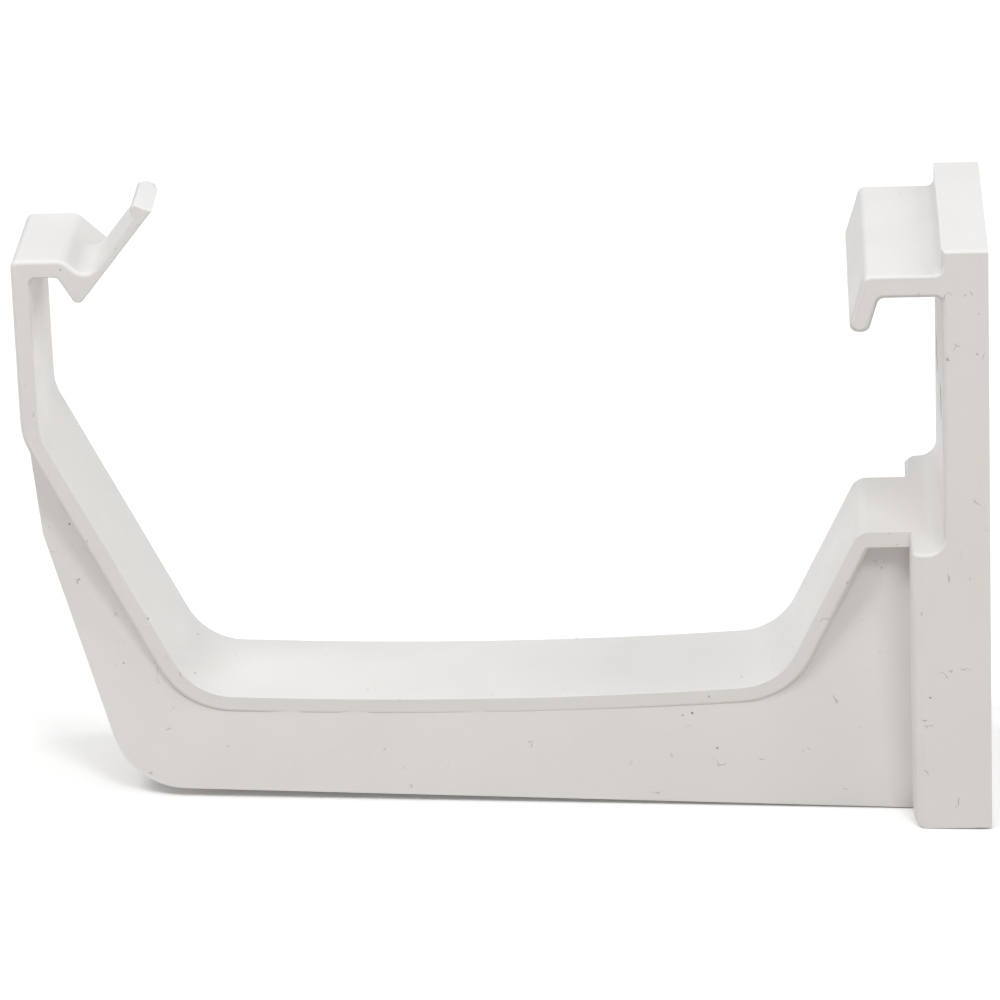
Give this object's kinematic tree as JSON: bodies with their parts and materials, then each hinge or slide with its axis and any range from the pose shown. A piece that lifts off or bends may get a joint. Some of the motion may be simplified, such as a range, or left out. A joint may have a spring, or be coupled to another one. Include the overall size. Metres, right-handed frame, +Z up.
{
  "type": "gutter fascia bracket",
  "caption": "Moulded plastic bracket that screws to a fascia board and holds a square roof gutter in a strap between a rear lip and a front snap clip with a release lever.",
  "frame": {"origin": "midway between the two screw holes, on the back face that lies on the fascia board", "axes": "+X out of the back face into the fascia board, +Y along the gutter, +Z up"},
  "size_m": [0.1229, 0.0368, 0.0835],
  "materials": {
    "white_upvc": "satin, as moulded"
  },
  "bodies": {
    "root": {"gutter_bracket": "white_upvc"}
  },
  "joints": []
}
